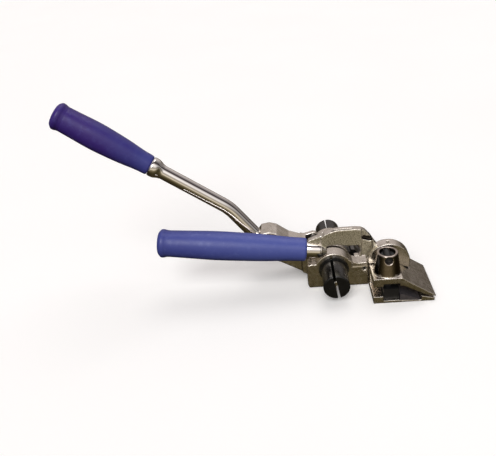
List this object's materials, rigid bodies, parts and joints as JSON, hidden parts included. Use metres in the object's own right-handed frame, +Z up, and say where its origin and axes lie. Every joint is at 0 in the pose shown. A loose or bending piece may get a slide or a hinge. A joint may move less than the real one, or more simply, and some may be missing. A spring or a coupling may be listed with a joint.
{
  "type": "strapping tensioner",
  "caption": "Hand strapping tensioner: a slotted windlass drum turned by a ratchet lever, with a second lever that works a band cutter in the wedge shaped nose.",
  "frame": {"origin": "on the foot face, directly below the drum axis, halfway through the front wall of the base casting", "axes": "+X along the tool from the handles to the nose, +Y along the drum away from the side where the band is loaded, +Z up"},
  "size_m": [0.3852, 0.1285, 0.2218],
  "materials": {
    "plated_forging": "satin nickel plate over a forged, sand textured skin",
    "black_oxide": "oiled black oxide",
    "dark_steel": "blackened steel",
    "die_steel": "ground hardened tool steel",
    "bronze": "oil filled sintered bronze",
    "bright_steel": "ground steel",
    "chrome": "bright chrome",
    "lever_grip_plastic": "moulded vinyl, fine grain",
    "handle_grip_plastic": "moulded vinyl, fine grain"
  },
  "bodies": {
    "frame": {"base_casting": "plated_forging", "rear_plate": "plated_forging", "rear_plate_screws": "dark_steel", "nose_block": "plated_forging", "nose_screws": "dark_steel", "nose_roll_pin": "bright_steel", "die_insert": "die_steel", "front_bush": "dark_steel", "rear_bush": "bronze", "housing_plug": "black_oxide", "plug_pin": "black_oxide", "plunger_spring": "bright_steel", "holding_pawl_pin": "bright_steel", "pawl_spacers": "dark_steel"},
    "drum": {"windlass_drum": "black_oxide", "ratchet_wheel": "dark_steel", "drum_key": "bright_steel", "drum_rings": "dark_steel"},
    "ratchet_lever": {"lever_head": "plated_forging", "lever_rod": "chrome", "lever_ferrule": "chrome", "lever_grip": "lever_grip_plastic", "rod_roll_pin": "black_oxide", "drive_pawl_pin": "bright_steel"},
    "drive_pawl": {"drive_pawl": "dark_steel", "drive_pawl_spring": "bright_steel"},
    "holding_pawl": {"holding_pawl": "dark_steel", "holding_pawl_spring": "bright_steel"},
    "cutter_lever": {"cutter_arm": "plated_forging", "handle_tube": "chrome", "handle_ferrule": "chrome", "handle_grip": "handle_grip_plastic", "handle_roll_pin": "black_oxide", "eccentric_shaft": "bright_steel", "shaft_roll_pin": "black_oxide"},
    "cutter": {"cutter_plunger": "black_oxide", "cutter_blade": "black_oxide", "blade_screw": "dark_steel"}
  },
  "joints": [
    {"name": "drum_spin", "type": "hinge", "parent": "frame", "child": "drum", "pos_m": [0, 0, 0.021], "axis": [0, 1, 0], "continuous": true},
    {"name": "ratchet_swing", "type": "hinge", "parent": "frame", "child": "ratchet_lever", "pos_m": [0, 0, 0.021], "axis": [0, 1, 0], "range_deg": [-15, 75]},
    {"name": "drive_pawl_lift", "type": "hinge", "parent": "ratchet_lever", "child": "drive_pawl", "pos_m": [-0.01874, 0.0275, 0.03974], "axis": [0, 1, 0], "range_deg": [0, 12], "stiffness_Nm_per_rad": 0.05, "springref_deg": -20.05},
    {"name": "holding_pawl_lift", "type": "hinge", "parent": "frame", "child": "holding_pawl", "pos_m": [0.0305, 0.0275, 0.017], "axis": [0, 1, 0], "range_deg": [0, 12], "stiffness_Nm_per_rad": 0.05, "springref_deg": -20.05},
    {"name": "cutter_swing", "type": "hinge", "parent": "frame", "child": "cutter_lever", "pos_m": [0.0575, 0, 0.03], "axis": [0, 1, 0], "range_deg": [0, 75]},
    {"name": "cutter_lift", "type": "slide", "parent": "frame", "child": "cutter", "axis": [0, 0, 1], "range_m": [0, 0.0067], "deforming": ["plunger_spring"]}
  ],
  "couplings": [
    {"joint": "cutter_lift", "follows": "cutter_swing", "m_per_rad": 0.0051183}
  ]
}
